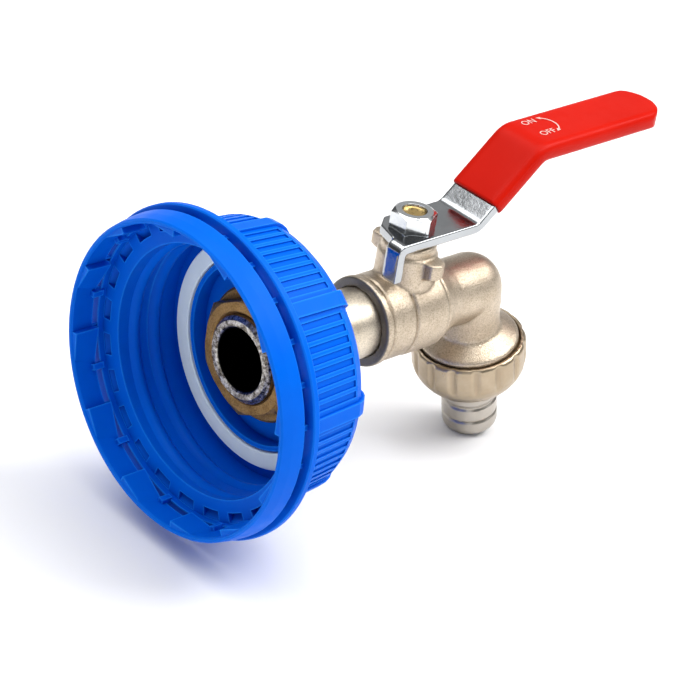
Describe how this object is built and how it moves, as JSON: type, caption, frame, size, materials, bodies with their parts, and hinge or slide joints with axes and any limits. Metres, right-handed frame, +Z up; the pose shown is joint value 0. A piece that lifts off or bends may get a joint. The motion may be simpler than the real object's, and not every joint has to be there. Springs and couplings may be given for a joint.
{
  "type": "canister tap",
  "caption": "Screw cap with tamper ring carrying a lever ball valve, bent-down outlet and swivelling barbed hose tail, for draining a canister.",
  "frame": {"origin": "centre of the mouth of the cap's threaded wall", "axes": "+X along the flow axis away from the canister, +Z up along the valve stem"},
  "size_m": [0.151, 0.0792, 0.0844],
  "materials": {
    "cap_blue": "semi-gloss moulded polyethylene",
    "gasket_white": "matte foam",
    "raw_brass": "raw cast",
    "black_rubber": "matte",
    "nickel_turned": "nickel plated, turned",
    "nickel_cast": "nickel plated, blasted",
    "nickel_tail": "nickel plated, smooth",
    "seat_white": "matte",
    "chrome_ball": "polished",
    "stem_brass": "turned",
    "lever_chrome": "polished plating",
    "nut_zinc": "bright plating",
    "grip_red": "glossy dipped sleeve"
  },
  "bodies": {
    "housing": {"screw_cap": "cap_blue", "cap_gasket": "gasket_white", "back_nut": "raw_brass", "inner_washer": "black_rubber", "outer_washer": "black_rubber", "inlet_connector": "nickel_turned", "body_o_ring": "black_rubber", "valve_body": "nickel_cast", "inlet_seat": "seat_white", "outlet_seat": "seat_white", "thrust_washer": "seat_white"},
    "handle": {"lever": "lever_chrome", "lever_grip": "grip_red", "lever_nut": "nut_zinc", "stem": "stem_brass", "ball": "chrome_ball", "stem_o_ring_lower": "black_rubber", "stem_o_ring_upper": "black_rubber"},
    "tail": {"hose_tail": "nickel_tail", "tail_gasket": "black_rubber"},
    "union": {"union_nut": "nickel_turned"}
  },
  "joints": [
    {"name": "lever_turn", "type": "hinge", "parent": "housing", "child": "handle", "pos_m": [0.0622, 0, 0.02], "axis": [0, 0, -1], "range_deg": [0, 90]},
    {"name": "tail_slide", "type": "slide", "parent": "housing", "child": "tail", "axis": [0.2436, 0, -0.9699], "range_m": [0, 0.00635]},
    {"name": "union_turn", "type": "hinge", "parent": "tail", "child": "union", "pos_m": [0.09186, 0, -0.02134], "axis": [0.2436, 0, -0.9699], "range_deg": [0, 1260]}
  ],
  "couplings": [
    {"joint": "tail_slide", "follows": "union_turn", "m_per_rad": 0.0002887}
  ]
}
